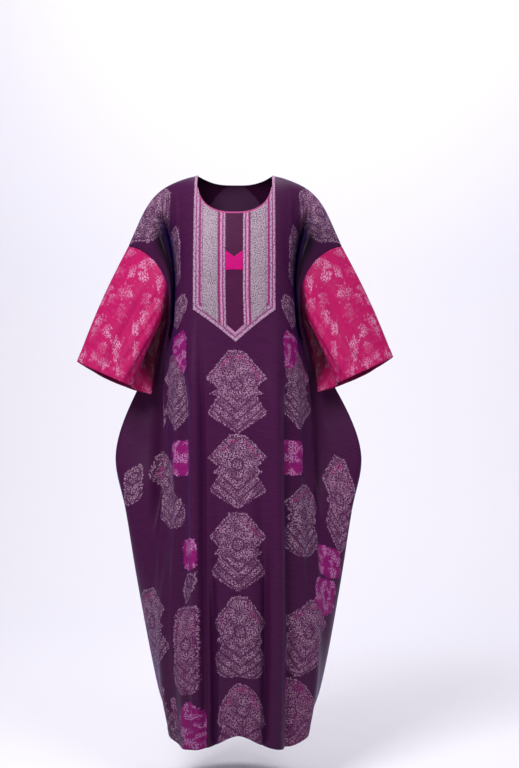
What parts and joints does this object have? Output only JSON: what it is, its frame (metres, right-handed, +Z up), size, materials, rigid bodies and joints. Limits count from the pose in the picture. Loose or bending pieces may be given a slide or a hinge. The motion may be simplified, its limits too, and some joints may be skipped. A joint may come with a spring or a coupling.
{
  "type": "grand boubou robe",
  "caption": "Wide full-length robe with drop shoulders, bell sleeves, a round neck and a pointed banded breast panel, worn and hanging hollow.",
  "frame": {"origin": "middle of the neck opening, level with the neck points of the shoulder seams, where the wearer's shoulders and neck hold it", "axes": "+Z up, the wearer's front towards -Y, the longest side along Z; left in a name is the -X side and right the +X side, as seen from the front, so sleeve_left is on the wearer's right arm"},
  "size_m": [0.7838, 0.3277, 1.4058],
  "materials": {
    "robe_cloth": "purple brocade with silver medallions, satin ground",
    "sleeve_cloth": "fuchsia brocade with silver flower sprays, satin ground",
    "breast_field": "silver brocade, slightly metallic",
    "breast_band": "lilac and magenta striped embroidery",
    "breast_strip": "purple brocade, pressed flat",
    "breast_inset": "magenta satin"
  },
  "bodies": {
    "root": {"front_panel": "robe_cloth", "back_panel": "robe_cloth", "sleeve_left": "sleeve_cloth", "sleeve_right": "sleeve_cloth", "breast_border": "breast_band", "breast_field_left": "breast_field", "breast_field_right": "breast_field", "breast_band_left": "breast_band", "breast_band_right": "breast_band", "breast_strip": "breast_strip", "breast_inset": "breast_inset"}
  },
  "joints": []
}
